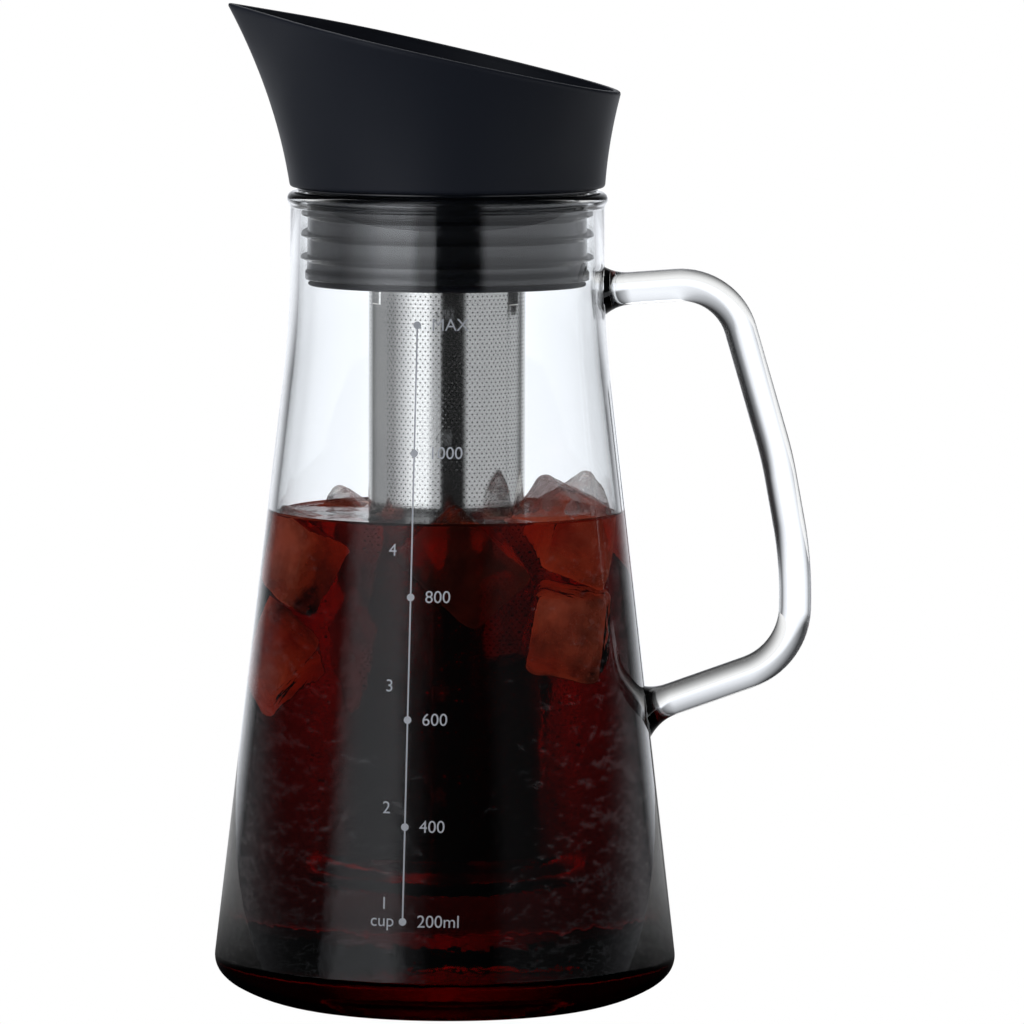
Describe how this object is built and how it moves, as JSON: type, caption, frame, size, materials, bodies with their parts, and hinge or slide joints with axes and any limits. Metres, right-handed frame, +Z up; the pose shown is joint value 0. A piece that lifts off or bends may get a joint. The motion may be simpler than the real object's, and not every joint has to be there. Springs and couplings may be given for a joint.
{
  "type": "cold brew coffee maker",
  "caption": "Tapered glass carafe with a fused glass rod handle, a moulded slanted pouring collar sealed in the neck, and a capped perforated steel filter hung inside.",
  "frame": {"origin": "centre of the foot ring under the carafe, on the surface it stands on", "axes": "+Z up along the carafe's axis, +X towards the handle, the spout points to -X"},
  "size_m": [0.1488, 0.1152, 0.2494],
  "materials": {
    "glass": "clear blown borosilicate glass, polished",
    "black_plastic": "moulded black polypropylene, satin",
    "silicone": "moulded dark grey silicone, smooth",
    "steel": "perforated stainless sheet, plain mill finish",
    "coffee": "cold brew coffee, clear and nearly black",
    "ice": "clear melting ice"
  },
  "bodies": {
    "carafe": {"carafe_body": "glass", "carafe_handle": "glass", "coffee": "coffee", "ice_1": "ice", "ice_2": "ice", "ice_3": "ice", "ice_4": "ice", "ice_5": "ice", "ice_6": "ice", "ice_7": "ice"},
    "collar": {"pour_collar": "black_plastic", "seal_sleeve": "silicone", "filter_seat": "black_plastic"},
    "filter": {"filter_rim": "steel", "filter_tube": "steel", "filter_base": "steel"},
    "cap": {"filter_cap": "black_plastic", "cap_gasket": "silicone"}
  },
  "joints": [
    {"name": "collar_lift", "type": "slide", "parent": "carafe", "child": "collar", "axis": [0, 0, 1], "range_m": [0, 0.19]},
    {"name": "filter_lift", "type": "slide", "parent": "collar", "child": "filter", "axis": [0, 0, 1], "range_m": [0, 0.19]},
    {"name": "cap_lift", "type": "slide", "parent": "filter", "child": "cap", "axis": [0, 0, 1], "range_m": [0, 0.04]}
  ]
}
